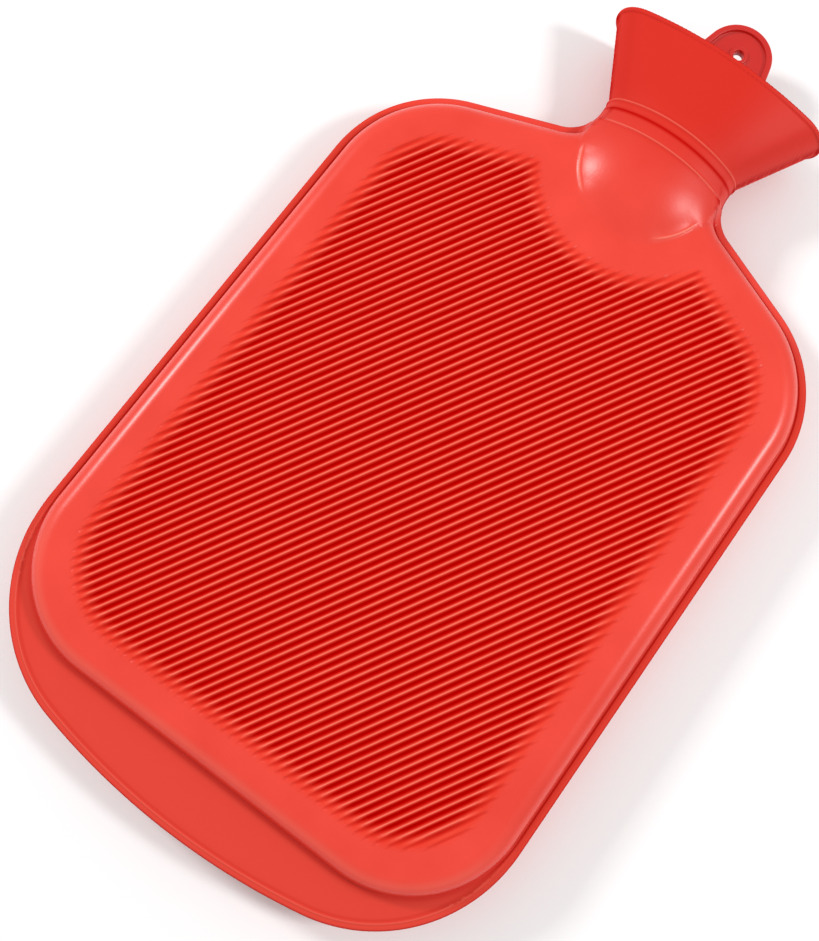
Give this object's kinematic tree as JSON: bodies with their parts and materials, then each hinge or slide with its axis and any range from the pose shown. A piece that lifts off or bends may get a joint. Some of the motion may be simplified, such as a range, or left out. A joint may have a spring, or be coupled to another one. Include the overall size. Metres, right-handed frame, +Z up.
{
  "type": "hot water bottle",
  "caption": "Flat rubber hot water bottle with a ribbed front, a seam flap at its foot, a flared pouring neck and a screw stopper with a hanging handle.",
  "frame": {"origin": "on the flat back panel, under the middle of the chamber, with the bottle lying on its back", "axes": "+Z up, out of the ribbed front; +Y along the bottle towards the mouth; +X across it"},
  "size_m": [0.1978, 0.3449, 0.039],
  "materials": {
    "rubber_red": "satin",
    "bush_brass": "satin",
    "washer_rubber": "matte",
    "stopper_red": "satin"
  },
  "bodies": {
    "bottle": {"bottle_body": "rubber_red", "neck_bush": "bush_brass"},
    "washer": {"seal_washer": "washer_rubber"},
    "stopper": {"stopper": "stopper_red"}
  },
  "joints": [
    {"name": "stopper_rise", "type": "slide", "parent": "bottle", "child": "washer", "axis": [0, 1, 0], "range_m": [0, 0.0182]},
    {"name": "stopper_turn", "type": "hinge", "parent": "washer", "child": "stopper", "pos_m": [0, 0.154, 0.0175], "axis": [0, 1, 0], "range_deg": [0, 1620]}
  ],
  "couplings": [
    {"joint": "stopper_rise", "follows": "stopper_turn", "m_per_rad": 0.00063662}
  ]
}
